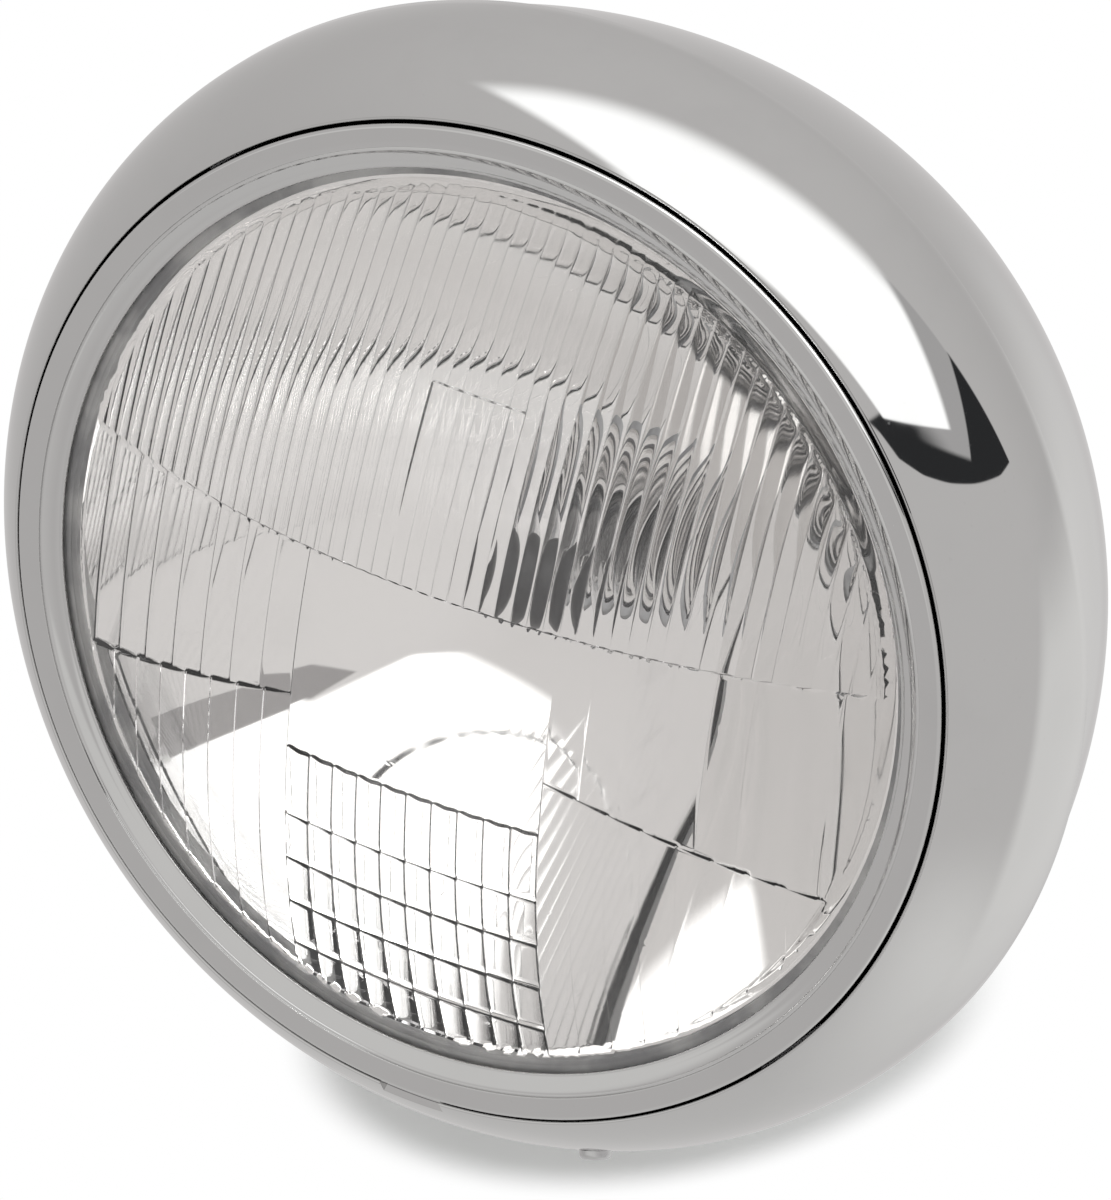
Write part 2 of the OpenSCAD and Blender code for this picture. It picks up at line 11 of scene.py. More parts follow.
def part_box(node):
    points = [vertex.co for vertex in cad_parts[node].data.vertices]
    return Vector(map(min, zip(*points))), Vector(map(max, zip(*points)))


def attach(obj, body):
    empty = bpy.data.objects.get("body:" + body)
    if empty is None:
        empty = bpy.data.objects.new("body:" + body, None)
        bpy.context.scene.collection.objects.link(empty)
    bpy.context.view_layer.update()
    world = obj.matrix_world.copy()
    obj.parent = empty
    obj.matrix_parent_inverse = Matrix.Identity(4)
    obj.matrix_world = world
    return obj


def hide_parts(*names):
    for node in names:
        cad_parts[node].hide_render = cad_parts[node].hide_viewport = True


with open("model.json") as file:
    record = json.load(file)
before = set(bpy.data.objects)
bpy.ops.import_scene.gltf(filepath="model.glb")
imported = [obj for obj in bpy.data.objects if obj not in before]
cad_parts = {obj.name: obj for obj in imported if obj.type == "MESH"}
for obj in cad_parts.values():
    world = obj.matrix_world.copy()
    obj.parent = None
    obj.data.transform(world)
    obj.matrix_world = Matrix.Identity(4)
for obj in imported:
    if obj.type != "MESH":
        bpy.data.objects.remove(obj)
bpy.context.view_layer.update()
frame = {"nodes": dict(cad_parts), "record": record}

bl_info = {
    "name": "Round Motorcycle Headlight",
    "version": (1, 0, 0),
    "blender": (4, 5, 0),
    "location": "View3D > Sidebar > Headlight",
    "description": "Builds the looks of a round inset headlight around its solid model",
    "category": "Add Mesh",
}

MM = 0.001


def node_box(name):
    """Lowest and highest corner of a solid, in metres."""
    low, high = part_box(name)
    return Vector(low), Vector(high)


RING_LOW, RING_HIGH = node_box("trim_ring")
BELL_LOW, BELL_HIGH = node_box("front_bell")
LENS_LOW, LENS_HIGH = node_box("lens")
AXIS_Z = (RING_LOW.z + RING_HIGH.z) / 2
RING_R = (RING_HIGH.x - RING_LOW.x) / 2
BELL_R = (BELL_HIGH.x - BELL_LOW.x) / 2
FLANGE_R = (LENS_HIGH.x - LENS_LOW.x) / 2
DOME_H = 21.5 * MM
RING_Y = LENS_LOW.y + DOME_H


def lamp_point(x, up, forward):
    """Takes a point of the lamp frame to the part's frame."""
    return Vector((x, RING_Y - forward, AXIS_Z + up))


def lamp_matrix():
    """Takes a mesh drawn in the lamp frame to the part's frame."""
    return Matrix.Translation((0, RING_Y, AXIS_Z)) @ Matrix.Rotation(math.pi / 2, 4, "X")


class ShellSizes(bpy.types.PropertyGroup):
    """Sizes of the bell, the bucket and the trim ring."""

    bell_arc: bpy.props.FloatProperty(
        name="Bell arc", description="Radius of the bell's rounded section",
        default=34.3 * MM, unit="LENGTH")
    bell_depth: bpy.props.FloatProperty(
        name="Bell depth", description="Depth of the bell's widest place behind the ring",
        default=27.5 * MM, unit="LENGTH")
    bell_skirt: bpy.props.FloatProperty(
        name="Bell skirt", description="Straight stretch behind the widest place",
        default=3 * MM, unit="LENGTH")
    bell_wall: bpy.props.FloatProperty(
        name="Bell sheet", description="Sheet thickness of the bell",
        default=1 * MM, unit="LENGTH")
    lip_gap: bpy.props.FloatProperty(
        name="Lip gap", description="Gap between the trim ring and the bell's lip",
        default=0.48 * MM, unit="LENGTH")
    lip_flange: bpy.props.FloatProperty(
        name="Lip flange", description="Depth of the flange turned in behind the lip",
        default=6 * MM, unit="LENGTH")
    notch_width: bpy.props.FloatProperty(
        name="Notch width", description="Width of the notch in the lip at six o'clock",
        default=12 * MM, unit="LENGTH")
    notch_depth: bpy.props.FloatProperty(
        name="Notch depth", description="Depth of the notch in the lip",
        default=2.4 * MM, unit="LENGTH")
    back_depth: bpy.props.FloatProperty(
        name="Back depth", description="Depth at which the flatter back begins",
        default=105.9 * MM, unit="LENGTH")
    bowl_depth: bpy.props.FloatProperty(
        name="Bucket curve depth", description="Depth of the long curve's centre",
        default=5.1 * MM, unit="LENGTH")
    bucket_wall: bpy.props.FloatProperty(
        name="Bucket sheet", description="Sheet thickness of the bucket",
        default=1.2 * MM, unit="LENGTH")
    seam_gap: bpy.props.FloatProperty(
        name="Seam gap", description="Gap where the bell slides over the bucket",
        default=0.4 * MM, unit="LENGTH")
    band_length: bpy.props.FloatProperty(
        name="Bucket band", description="Length of the bucket's band inside the bell",
        default=5.5 * MM, unit="LENGTH")
    back_radius: bpy.props.FloatProperty(
        name="Back radius", description="Radius at which the flatter back begins",
        default=55 * MM, unit="LENGTH")
    back_flat: bpy.props.FloatProperty(
        name="Back flat", description="Radius of the flat in the middle of the back",
        default=14 * MM, unit="LENGTH")
    turn_steps: bpy.props.IntProperty(
        name="Steps round", description="Faces round a turned piece",
        default=320, min=32, max=512)


class GlassSizes(bpy.types.PropertyGroup):
    """Sizes of the glass and of the pattern on its inner face."""

    drop: bpy.props.FloatProperty(
        name="Glass drop", description="Depth of the dome's edge behind the ring's edge",
        default=1.95 * MM, unit="LENGTH")
    thickness: bpy.props.FloatProperty(
        name="Thickness", description="Thickness of the glass",
        default=3.5 * MM, unit="LENGTH")
    dome_edge: bpy.props.FloatProperty(
        name="Dome edge", description="Radius at which the dome meets its flange",
        default=83.4 * MM, unit="LENGTH")
    field: bpy.props.FloatProperty(
        name="Fluted field", description="Radius of the patterned field",
        default=79 * MM, unit="LENGTH")
    fine_edge: bpy.props.FloatProperty(
        name="Fine flutes edge", description="Lower edge of the fine flutes",
        default=12.4 * MM, unit="LENGTH")
    fine_pitch: bpy.props.FloatProperty(
        name="Fine pitch", description="Pitch of the fine flutes",
        default=3.038 * MM, unit="LENGTH")
    fine_depth: bpy.props.FloatProperty(
        name="Fine depth", description="Depth of the fine flutes",
        default=0.14 * MM, unit="LENGTH")
    groove_half: bpy.props.FloatProperty(
        name="Groove half width", description="Half width of the grooves between flutes",
        default=0.17 * MM, unit="LENGTH")
    groove_depth: bpy.props.FloatProperty(
        name="Groove depth", description="Depth of the grooves between flutes",
        default=0.05 * MM, unit="LENGTH")
    wide_pitch: bpy.props.FloatProperty(
        name="Wide pitch", description="Pitch of the wide side flutes",
        default=6.75 * MM, unit="LENGTH")
    wide_depth: bpy.props.FloatProperty(
        name="Wide depth", description="Depth of the wide side flutes",
        default=0.1 * MM, unit="LENGTH")
    low_pitch: bpy.props.FloatProperty(
        name="Lower pitch", description="Pitch of the lower flutes",
        default=6 * MM, unit="LENGTH")
    low_depth: bpy.props.FloatProperty(
        name="Lower depth", description="Depth of the lower flutes",
        default=0.45 * MM, unit="LENGTH")
    block_half: bpy.props.FloatProperty(
        name="Block half width", description="Half width of the prism block",
        default=25 * MM, unit="LENGTH")
    block_top: bpy.props.FloatProperty(
        name="Block top", description="Top edge of the prism block below the centre",
        default=26.2 * MM, unit="LENGTH")
    block_row: bpy.props.FloatProperty(
        name="Block row", description="Height of the rows of prisms below the first",
        default=9.65 * MM, unit="LENGTH")
    first_row: bpy.props.FloatProperty(
        name="First row", description="Height of the first row of prisms",
        default=14.2 * MM, unit="LENGTH")
    window_half: bpy.props.FloatProperty(
        name="Window half width", description="Half width of the window in the fine flutes",
        default=9.12 * MM, unit="LENGTH")
    window_top: bpy.props.FloatProperty(
        name="Window top", description="Top edge of the window above the centre",
        default=47.7 * MM, unit="LENGTH")
    window_depth: bpy.props.FloatProperty(
        name="Window depth", description="How far the window's top edge stands out",
        default=1.1 * MM, unit="LENGTH")
    column_depth: bpy.props.FloatProperty(
        name="Column depth", description="Depth of the flutes of the prism columns",
        default=0.26 * MM, unit="LENGTH")
    block_column: bpy.props.FloatProperty(
        name="Block column", description="Width of one prism column",
        default=5 * MM, unit="LENGTH")
    kink_drop: bpy.props.FloatProperty(
        name="Kink drop", description="Start of the kinked line below the centre",
        default=15.7 * MM, unit="LENGTH")
    kink_angle: bpy.props.FloatProperty(
        name="Kink angle", description="Slope of the kinked line",
        default=math.radians(15), subtype="ANGLE")


class LampSizes(bpy.types.PropertyGroup):
    """Sizes of the reflector and the bulb."""

    focal: bpy.props.FloatProperty(
        name="Focal length", description="Focal length of the reflector",
        default=29.778 * MM, unit="LENGTH")
    opening: bpy.props.FloatProperty(
        name="Opening", description="Radius of the reflector's opening",
        default=80.2 * MM, unit="LENGTH")
    bulb_hole: bpy.props.FloatProperty(
        name="Bulb hole", description="Radius of the reflector's bulb hole",
        default=19 * MM, unit="LENGTH")
    sheet: bpy.props.FloatProperty(
        name="Sheet", description="Sheet thickness of the reflector",
        default=0.8 * MM, unit="LENGTH")
    seal: bpy.props.FloatProperty(
        name="Seal", description="Thickness of the seal behind the glass",
        default=2 * MM, unit="LENGTH")


class Finishes(bpy.types.PropertyGroup):
    """Colours and gloss of the finishes."""

    chrome: bpy.props.FloatVectorProperty(
        name="Chrome", description="Colour of the chrome plating",
        default=(0.60, 0.60, 0.595), min=0, max=1, subtype="COLOR")
    mirror: bpy.props.FloatVectorProperty(
        name="Reflector", description="Colour of the reflector's coating",
        default=(0.94, 0.935, 0.93), min=0, max=1, subtype="COLOR")
    zinc: bpy.props.FloatVectorProperty(
        name="Zinc", description="Colour of the zinc plated pieces",
        default=(0.55, 0.56, 0.57), min=0, max=1, subtype="COLOR")
    rubber: bpy.props.FloatVectorProperty(
        name="Rubber", description="Colour of the rubber pieces",
        default=(0.022, 0.022, 0.023), min=0, max=1, subtype="COLOR")
    tip: bpy.props.FloatVectorProperty(
        name="Bulb tip", description="Colour of the bulb's painted tip",
        default=(0.05, 0.05, 0.052), min=0, max=1, subtype="COLOR")


# Node helpers


class Tree:
    """A short way to lay out shader nodes."""

    def __init__(self, tree):
        self.tree = tree

    def add(self, kind, settings=None, **inputs):
        node = self.tree.nodes.new(kind)
        for key, value in (settings or {}).items():
            setattr(node, key, value)
        for key, value in inputs.items():
            name = key.replace("_", " ")
            socket = node.inputs[int(key[1:])] if key[0] == "i" and key[1:].isdigit() else node.inputs[name]
            self.feed(socket, value)
        return node

    def feed(self, socket, value):
        if isinstance(value, bpy.types.NodeSocket):
            self.tree.links.new(value, socket)
        else:
            socket.default_value = value

    def math(self, operation, a, b=0.0, c=0.0):
        node = self.tree.nodes.new("ShaderNodeMath")
        node.operation = operation
        for socket, value in zip(node.inputs, (a, b, c)):
            self.feed(socket, value)
        return node.outputs[0]

    def ramp(self, value, low, high, out_low=0.0, out_high=1.0):
        node = self.tree.nodes.new("ShaderNodeMapRange")
        node.interpolation_type = "SMOOTHSTEP"
        for socket, part in zip(node.inputs, (value, low, high, out_low, out_high)):
            self.feed(socket, part)
        return node.outputs[0]

    def mix(self, factor, a, b):
        node = self.tree.nodes.new("ShaderNodeMix")
        node.data_type = "RGBA"
        self.feed(node.inputs["Factor"], factor)
        self.feed(node.inputs[6], a)
        self.feed(node.inputs[7], b)
        return node.outputs[2]


def new_material(name):
    """A material with an empty tree and its output node."""
    material = bpy.data.materials.new(name)
    material.use_nodes = True
    material.node_tree.nodes.clear()
    tree = Tree(material.node_tree)
    output = tree.add("ShaderNodeOutputMaterial")
    return material, tree, output


def surface(tree, output, **inputs):
    """A Principled shader on the output."""
    shader = tree.add("ShaderNodeBsdfPrincipled")
    for key, value in inputs.items():
        tree.feed(shader.inputs[key.replace("_", " ")], value)
    tree.tree.links.new(shader.outputs[0], output.inputs["Surface"])
    return shader


def effect_group(name, outputs, inputs):
    """An empty node group with its sockets."""
    group = bpy.data.node_groups.new(name, "ShaderNodeTree")
    for label, kind, value in inputs:
        socket = group.interface.new_socket(name=label, in_out="INPUT", socket_type=kind)
        if value is not None:
            socket.default_value = value
    for label, kind in outputs:
        group.interface.new_socket(name=label, in_out="OUTPUT", socket_type=kind)
    tree = Tree(group)
    return group, tree, tree.add("NodeGroupInput"), tree.add("NodeGroupOutput")


def polish_group():
    """Faint polishing marks, haze and ripple of a buffed or pressed surface."""
    number, shade = "NodeSocketFloat", "NodeSocketColor"
    group, tree, source, sink = effect_group(
        "polish",
        [("Color", shade), ("Roughness", number), ("Height", number)],
        [("Color", shade, (0.8, 0.8, 0.8, 1)), ("Roughness", number, 0.05), ("Haze", number, 0.05),
         ("Ripple Scale", number, 40.0)])
    place = tree.add("ShaderNodeTexCoord").outputs["Object"]
    haze = tree.add("ShaderNodeTexNoise", Vector=place, Scale=55.0, Detail=5.0, Roughness=0.6).outputs[0]
    speck = tree.add("ShaderNodeTexNoise", Vector=place, Scale=900.0, Detail=2.0).outputs[0]
    ripple = tree.add("ShaderNodeTexNoise", Vector=place, Scale=source.outputs["Ripple Scale"],
                      Detail=1.0).outputs[0]
    haze_mask = tree.ramp(haze, 0.45, 0.75)
    speck_mask = tree.ramp(speck, 0.68, 0.8)
    rough = tree.math("MULTIPLY_ADD", haze_mask, source.outputs["Haze"], source.outputs["Roughness"])
    rough = tree.math("MULTIPLY_ADD", speck_mask, 0.04, rough)
    darker = tree.mix(0.5, source.outputs["Color"], (0, 0, 0, 1))
    blend = tree.math("MULTIPLY", haze_mask, 0.05)
    blend = tree.math("MULTIPLY_ADD", speck_mask, 0.05, blend)
    tree.feed(sink.inputs["Color"], tree.mix(blend, source.outputs["Color"], darker))
    tree.feed(sink.inputs["Roughness"], rough)
    tree.feed(sink.inputs["Height"], ripple)
    return group


def grain_group():
    """Fine cast, rubbed or moulded grain."""
    number = "NodeSocketFloat"
    group, tree, source, sink = effect_group(
        "grain", [("Mask", number), ("Height", number)],
        [("Scale", number, 300.0), ("Wear Scale", number, 60.0)])
    place = tree.add("ShaderNodeTexCoord").outputs["Object"]
    fine = tree.add("ShaderNodeTexNoise", Vector=place, Scale=source.outputs["Scale"], Detail=6.0).outputs[0]
    wear = tree.add("ShaderNodeTexNoise", Vector=place, Scale=source.outputs["Wear Scale"],
                    Detail=4.0).outputs[0]
    tree.feed(sink.inputs["Mask"], tree.ramp(wear, 0.4, 0.65))
    tree.feed(sink.inputs["Height"], fine)
    return group


def placed_group(tree, group, **inputs):
    """A node group in a tree, with this material's values."""
    node = tree.add("ShaderNodeGroup", {"node_tree": group})
    for key, value in inputs.items():
        tree.feed(node.inputs[key.replace("_", " ")], value)
    return node


def polished_metal(name, group, color, roughness, haze, ripple, strength):
    """Buffed plating with faint haze and ripple."""
    material, tree, output = new_material(name)
    marks = placed_group(tree, group, Color=(*color, 1), Roughness=roughness, Haze=haze,
                         Ripple_Scale=ripple)
    bump = tree.add("ShaderNodeBump", Strength=strength, Distance=0.0002, Height=marks.outputs["Height"])
    surface(tree, output, Base_Color=marks.outputs["Color"], Metallic=1.0,
            Roughness=marks.outputs["Roughness"], Normal=bump.outputs[0])
    return material


def plated_metal(name, group, color, roughness, scale):
    """Satin plating with fine grain and duller places."""
    material, tree, output = new_material(name)
    grain = placed_group(tree, group, Scale=scale, Wear_Scale=70.0)
    dull = (color[0] * 0.72, color[1] * 0.72, color[2] * 0.74, 1)
    shade = tree.mix(grain.outputs["Mask"], (*color, 1), dull)
    rough = tree.ramp(grain.outputs["Mask"], 0.0, 1.0, roughness, roughness + 0.15)
    bump = tree.add("ShaderNodeBump", Strength=0.15, Distance=0.0001, Height=grain.outputs["Height"])
    surface(tree, output, Base_Color=shade, Metallic=1.0, Roughness=rough, Normal=bump.outputs[0])
    return material


def turned_metal(name, group, color, roughness, pitch):
    """Bright metal with pressed rings round the lamp's axis, and painted shade: dark bands along the rings.
    """
    material, tree, output = new_material(name)
    grain = placed_group(tree, group, Scale=700.0, Wear_Scale=70.0)
    place = tree.add("ShaderNodeTexCoord").outputs["Object"]
    x, _, z = tree.add("ShaderNodeSeparateXYZ", Vector=place).outputs
    up = tree.math("SUBTRACT", z, AXIS_Z)
    radius = tree.math("SQRT", tree.math("MULTIPLY_ADD", x, x, tree.math("MULTIPLY", up, up)))
    wave = tree.math("SINE", tree.math("MULTIPLY", radius, 2 * math.pi / pitch))
    # painted shade: the metal's colour drops to 18 percent in bands along the pressed rings
    dark = (color[0] * 0.18, color[1] * 0.18, color[2] * 0.19, 1)
    shade = tree.mix(tree.ramp(wave, 0.3, 0.85), (*color, 1), dark)
    height = tree.math("MULTIPLY_ADD", grain.outputs["Height"], 0.05, wave)
    bump = tree.add("ShaderNodeBump", Strength=0.5, Distance=0.0004, Height=height)
    surface(tree, output, Base_Color=shade, Metallic=1.0, Roughness=roughness, Normal=bump.outputs[0])
    return material


def rubber_like(name, group, color):
    """Matt rubber with fine grain and a little dust."""
    material, tree, output = new_material(name)
    grain = placed_group(tree, group, Scale=700.0, Wear_Scale=45.0)
    dusty = (color[0] + 0.03, color[1] + 0.03, color[2] + 0.03, 1)
    shade = tree.mix(grain.outputs["Mask"], (*color, 1), dusty)
    rough = tree.ramp(grain.outputs["Mask"], 0.0, 1.0, 0.5, 0.68)
    bump = tree.add("ShaderNodeBump", Strength=0.3, Distance=0.0002, Height=grain.outputs["Height"])
    surface(tree, output, Base_Color=shade, Roughness=rough, Normal=bump.outputs[0])
    return material


def clear_glass(name, color, ripple, strength):
    """Clear glass with a slow ripple and a few seeds."""
    material, tree, output = new_material(name)
    place = tree.add("ShaderNodeTexCoord").outputs["Object"]
    wave = tree.add("ShaderNodeTexNoise", Vector=place, Scale=ripple, Detail=1.0).outputs[0]
    seed = tree.add("ShaderNodeTexNoise", Vector=place, Scale=260.0, Detail=0.0).outputs[0]
    height = tree.math("MULTIPLY_ADD", tree.ramp(seed, 0.78, 0.86), 0.6, wave)
    bump = tree.add("ShaderNodeBump", Strength=strength, Distance=0.0003, Height=height)
    tint = tree.mix(wave, (*color, 1), (color[0] * 0.985, color[1] * 0.985, color[2] * 0.98, 1))
    surface(tree, output, Base_Color=tint, Roughness=0.0, IOR=1.51, Transmission_Weight=1.0,
            Normal=bump.outputs[0])
    return material


def painted_tip(name, group, color):
    """Dark heatproof paint with worn places."""
    material, tree, output = new_material(name)
    grain = placed_group(tree, group, Scale=500.0, Wear_Scale=120.0)
    worn = (color[0] * 1.6, color[1] * 1.6, color[2] * 1.6, 1)
    shade = tree.mix(grain.outputs["Mask"], (*color, 1), worn)
    rough = tree.ramp(grain.outputs["Mask"], 0.0, 1.0, 0.3, 0.42)
    bump = tree.add("ShaderNodeBump", Strength=0.2, Distance=0.0001, Height=grain.outputs["Height"])
    surface(tree, output, Base_Color=shade, Roughness=rough, Normal=bump.outputs[0])
    return material


MATERIALS = {}


def make_materials():
    """One material for each finish, by the name of its slot."""
    finish = bpy.context.scene.lamp_finishes
    polish, grain = polish_group(), grain_group()
    MATERIALS["chrome_shell"] = polished_metal(
        "chrome_shell", polish, finish.chrome, 0.025, 0.03, 30.0, 0.02)
    MATERIALS["trim_chrome"] = polished_metal(
        "trim_chrome", polish, finish.chrome, 0.04, 0.04, 60.0, 0.04)
    MATERIALS["reflector_mirror"] = polished_metal(
        "reflector_mirror", polish, finish.mirror, 0.02, 0.04, 50.0, 0.05)
    MATERIALS["zinc_steel"] = plated_metal("zinc_steel", grain, finish.zinc, 0.34, 400.0)
    MATERIALS["bright_screw"] = plated_metal("bright_screw", grain, finish.chrome, 0.16, 900.0)
    MATERIALS["spring_wire"] = plated_metal("spring_wire", grain, finish.zinc, 0.22, 1200.0)
    MATERIALS["bulb_metal"] = turned_metal("bulb_metal", grain, (0.8, 0.79, 0.78), 0.2, 2.7 * MM)
    MATERIALS["black_rubber"] = rubber_like("black_rubber", grain, finish.rubber)
    MATERIALS["clear_sealant"] = plated_metal("clear_sealant", grain, (0.88, 0.885, 0.88), 0.55, 300.0)
    MATERIALS["lens_glass"] = clear_glass("lens_glass", (0.995, 0.99, 0.985), 35.0, 0.03)
    MATERIALS["bulb_glass"] = clear_glass("bulb_glass", (0.98, 0.985, 0.99), 120.0, 0.02)
    MATERIALS["bulb_tip"] = painted_tip("bulb_tip", grain, finish.tip)


# Mesh helpers


def arc(centre, radius, first, last, steps):
    """Points of an arc in [radius, forward], angles in degrees."""
    turn = [math.radians(first + (last - first) * i / steps) for i in range(steps + 1)]
    return [(centre[0] + radius * math.cos(a), centre[1] + radius * math.sin(a)) for a in turn]


def finish_mesh(mesh, name, slot, replaced=(), crease=40):
    """Makes the object of a bmesh that is already in its place, sharp above an angle in degrees."""
    bmesh.ops.remove_doubles(mesh, verts=mesh.verts, dist=1e-6)
    bmesh.ops.recalc_face_normals(mesh, faces=mesh.faces)
    data = bpy.data.meshes.new(name)
    mesh.to_mesh(data)
    mesh.free()
    piece = bpy.data.objects.new(name, data)
    bpy.context.scene.collection.objects.link(piece)
    data.shade_smooth()
    data.set_sharp_from_angle(angle=math.radians(crease))
    data.materials.append(MATERIALS[slot])
    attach(piece, "root")
    if replaced:
        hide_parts(*replaced)
    return piece


def turned(profile, steps):
    """Spins a closed profile of [radius, forward] round the lamp's axis."""
    mesh = bmesh.new()
    points = [mesh.verts.new((r, 0, z)) for r, z in profile]
    edges = [mesh.edges.new((a, b)) for a, b in zip(points, points[1:] + points[:1])]
    bmesh.ops.spin(mesh, geom=points + edges, cent=(0, 0, 0), axis=(0, 0, 1),
                   angle=2 * math.pi, steps=steps, use_merge=True)
    bmesh.ops.remove_doubles(mesh, verts=mesh.verts, dist=1e-6)
    bmesh.ops.dissolve_degenerate(mesh, edges=mesh.edges, dist=1e-7)
    wires = [e for e in mesh.edges if not e.link_faces]
    bmesh.ops.delete(mesh, geom=wires, context="EDGES")
    bmesh.ops.transform(mesh, matrix=lamp_matrix(), verts=mesh.verts)
    return mesh


def cutter(mesh):
    """A short-lived object that a Boolean takes away."""
    data = bpy.data.meshes.new("cutter")
    mesh.to_mesh(data)
    mesh.free()
    tool = bpy.data.objects.new("cutter", data)
    bpy.context.scene.collection.objects.link(tool)
    return tool


def box_mesh(centre, size):
    """A block by its middle and its three sizes."""
    mesh = bmesh.new()
    bmesh.ops.create_cube(mesh, size=1)
    bmesh.ops.scale(mesh, vec=size, verts=mesh.verts)
    bmesh.ops.translate(mesh, vec=centre, verts=mesh.verts)
    return mesh


def cut(piece, tools):
    """Takes the tools away from the piece for good."""
    for tool in tools:
        modifier = piece.modifiers.new("cut", "BOOLEAN")
        modifier.operation = "DIFFERENCE"
        modifier.solver = "EXACT"
        modifier.object = tool
        with bpy.context.temp_override(object=piece, active_object=piece, selected_objects=[piece]):
            bpy.ops.object.modifier_apply(modifier=modifier.name)
        data = tool.data
        bpy.data.objects.remove(tool)
        bpy.data.meshes.remove(data)


# Pieces


def bell_section():
    """Centre of the bell's arc, and radius, angle and depth of its lip."""
    sizes = bpy.context.scene.lamp_shell
    centre = (BELL_R - sizes.bell_arc, -sizes.bell_depth)
    lip = RING_R + sizes.lip_gap
    lip_angle = math.degrees(math.acos((lip - centre[0]) / sizes.bell_arc))
    lip_z = centre[1] + sizes.bell_arc * math.sin(math.radians(lip_angle))
    return centre, lip, lip_angle, lip_z


def build_bell():
    """The spun front bell with its turned-in lip and the notch at six o'clock."""
    sizes = bpy.context.scene.lamp_shell
    centre, lip, lip_angle, lip_z = bell_section()
    wall = sizes.bell_wall
    back = -sizes.bell_depth - sizes.bell_skirt
    roll = 0.45 * MM
    outer = [(BELL_R - roll * 0.6, back), (BELL_R, back + roll)]
    outer += arc(centre, sizes.bell_arc, 0, lip_angle - 1.2, 40)
    turn = arc((lip + roll, lip_z - roll * 1.3), roll, 75, 180, 6)
    flange_z = lip_z - sizes.lip_flange
    flange = [(lip, lip_z - 2.5 * MM), (lip, flange_z), (lip + wall, flange_z)]
    inner = [p for p in arc(centre, sizes.bell_arc - wall, lip_angle - 4, 0, 40) if p[0] > lip + wall]
    profile = outer + turn + flange + inner + [(BELL_R - wall, back)]
    piece = finish_mesh(turned(profile, sizes.turn_steps), "bell", "chrome_shell", ["front_bell"], crease=35)
    notch = box_mesh(lamp_point(0, -lip, lip_z - sizes.notch_depth + 5 * MM),
                     (sizes.notch_width, 10 * MM, 16 * MM))
    cut(piece, [cutter(notch)])
    return piece


def bowl_path(inset):
    """The bucket's section from its band to the flat of its back, moved in by an inset."""
    sizes = bpy.context.scene.lamp_shell
    band = BELL_R - sizes.bell_wall - sizes.seam_gap
    front = sizes.bell_depth + sizes.bell_skirt
    front_drop = front - sizes.bowl_depth
    back_drop = sizes.back_depth - sizes.bowl_depth
    spread = band ** 2 + front_drop ** 2 - sizes.back_radius ** 2 - back_drop ** 2
    centre = (spread / (2 * (band - sizes.back_radius)), -sizes.bowl_depth)
    radius = math.hypot(band - centre[0], front_drop)
    start = math.degrees(math.asin(front_drop / radius))
    rear = math.degrees(math.asin(back_drop / radius))
    cap = sizes.back_radius / math.cos(math.radians(rear))
    cap_centre = (0, centre[1] - (radius - cap) * math.sin(math.radians(rear)))
    end = math.degrees(math.acos(sizes.back_flat / cap))
    path = [(band - inset, -front + sizes.band_length)]
    path += arc(centre, radius - inset, -start, -rear, 48)
    path += arc(cap_centre, cap - inset, -rear - 1, -end, 32)
    flat = cap_centre[1] - (cap - inset) * math.sin(math.radians(end))
    return path, flat


def build_bucket():
    """The deep bucket with its wire hole and boss hole."""
    sizes = bpy.context.scene.lamp_shell
    outer, flat = bowl_path(0)
    inner, inner_flat = bowl_path(sizes.bucket_wall)
    hole = 8 * MM
    profile = outer + [(hole, flat), (hole, inner_flat)] + inner[::-1]
    piece = finish_mesh(turned(profile, sizes.turn_steps), "bucket_shell", "chrome_shell", ["bucket"],
                        crease=35)
    boss_hole = 9.1 * MM
    drill = bmesh.new()
    bmesh.ops.create_cone(drill, cap_ends=True, segments=48, radius1=boss_hole, radius2=boss_hole,
                          depth=20 * MM)
    bmesh.ops.translate(drill, vec=(0, 0, 14 * MM), verts=drill.verts)
    cut(piece, [cutter(drill)])
    return piece


def ring_face():
    """The trim ring's visible section: rolled edge, smooth band, bead and slope to the glass."""
    g = bpy.context.scene.lamp_glass
    band_in = RING_R - 4.21 * MM
    points = arc((RING_R - 0.8 * MM, -0.8 * MM), 0.8 * MM, 0, 84, 10)
    points += [(RING_R - 1.6 * MM, -0.01 * MM), (RING_R - 2.5 * MM, 0), (RING_R - 3.4 * MM, -0.06 * MM)]
    points += arc((band_in + 0.12 * MM, -0.32 * MM), 0.14 * MM, 80, 190, 4)
    points += arc((band_in - 0.45 * MM, -0.46 * MM), 0.3 * MM, 40, 140, 6)
    points += [(band_in - 0.95 * MM, -0.56 * MM), (g.dome_edge + 1.72 * MM, -0.85 * MM)]
    points += [(g.dome_edge + 0.9 * MM, -1.12 * MM)]
    points += arc((g.dome_edge + 0.55 * MM, -1.5 * MM), 0.25 * MM, 70, 180, 5)
    points += [(g.dome_edge + 0.3 * MM, -g.drop + 0.1 * MM)]
    return points


def build_trim_ring():
    """The rolled trim ring round the glass."""
    sizes = bpy.context.scene.lamp_shell
    g = bpy.context.scene.lamp_glass
    wall = 0.8 * MM
    skirt = 14 * MM
    under = [(g.dome_edge + 1.72 * MM, -g.drop + 0.1 * MM), (RING_R - 4.2 * MM, -1.4 * MM),
             (RING_R - 2.5 * MM, -1 * MM), (RING_R - wall, -1.6 * MM)]
    profile = [(RING_R, -skirt)] + ring_face() + under + [(RING_R - wall, -skirt)]
    return finish_mesh(turned(profile, sizes.turn_steps), "trim_bezel", "trim_chrome", ["trim_ring"],
                       crease=50)


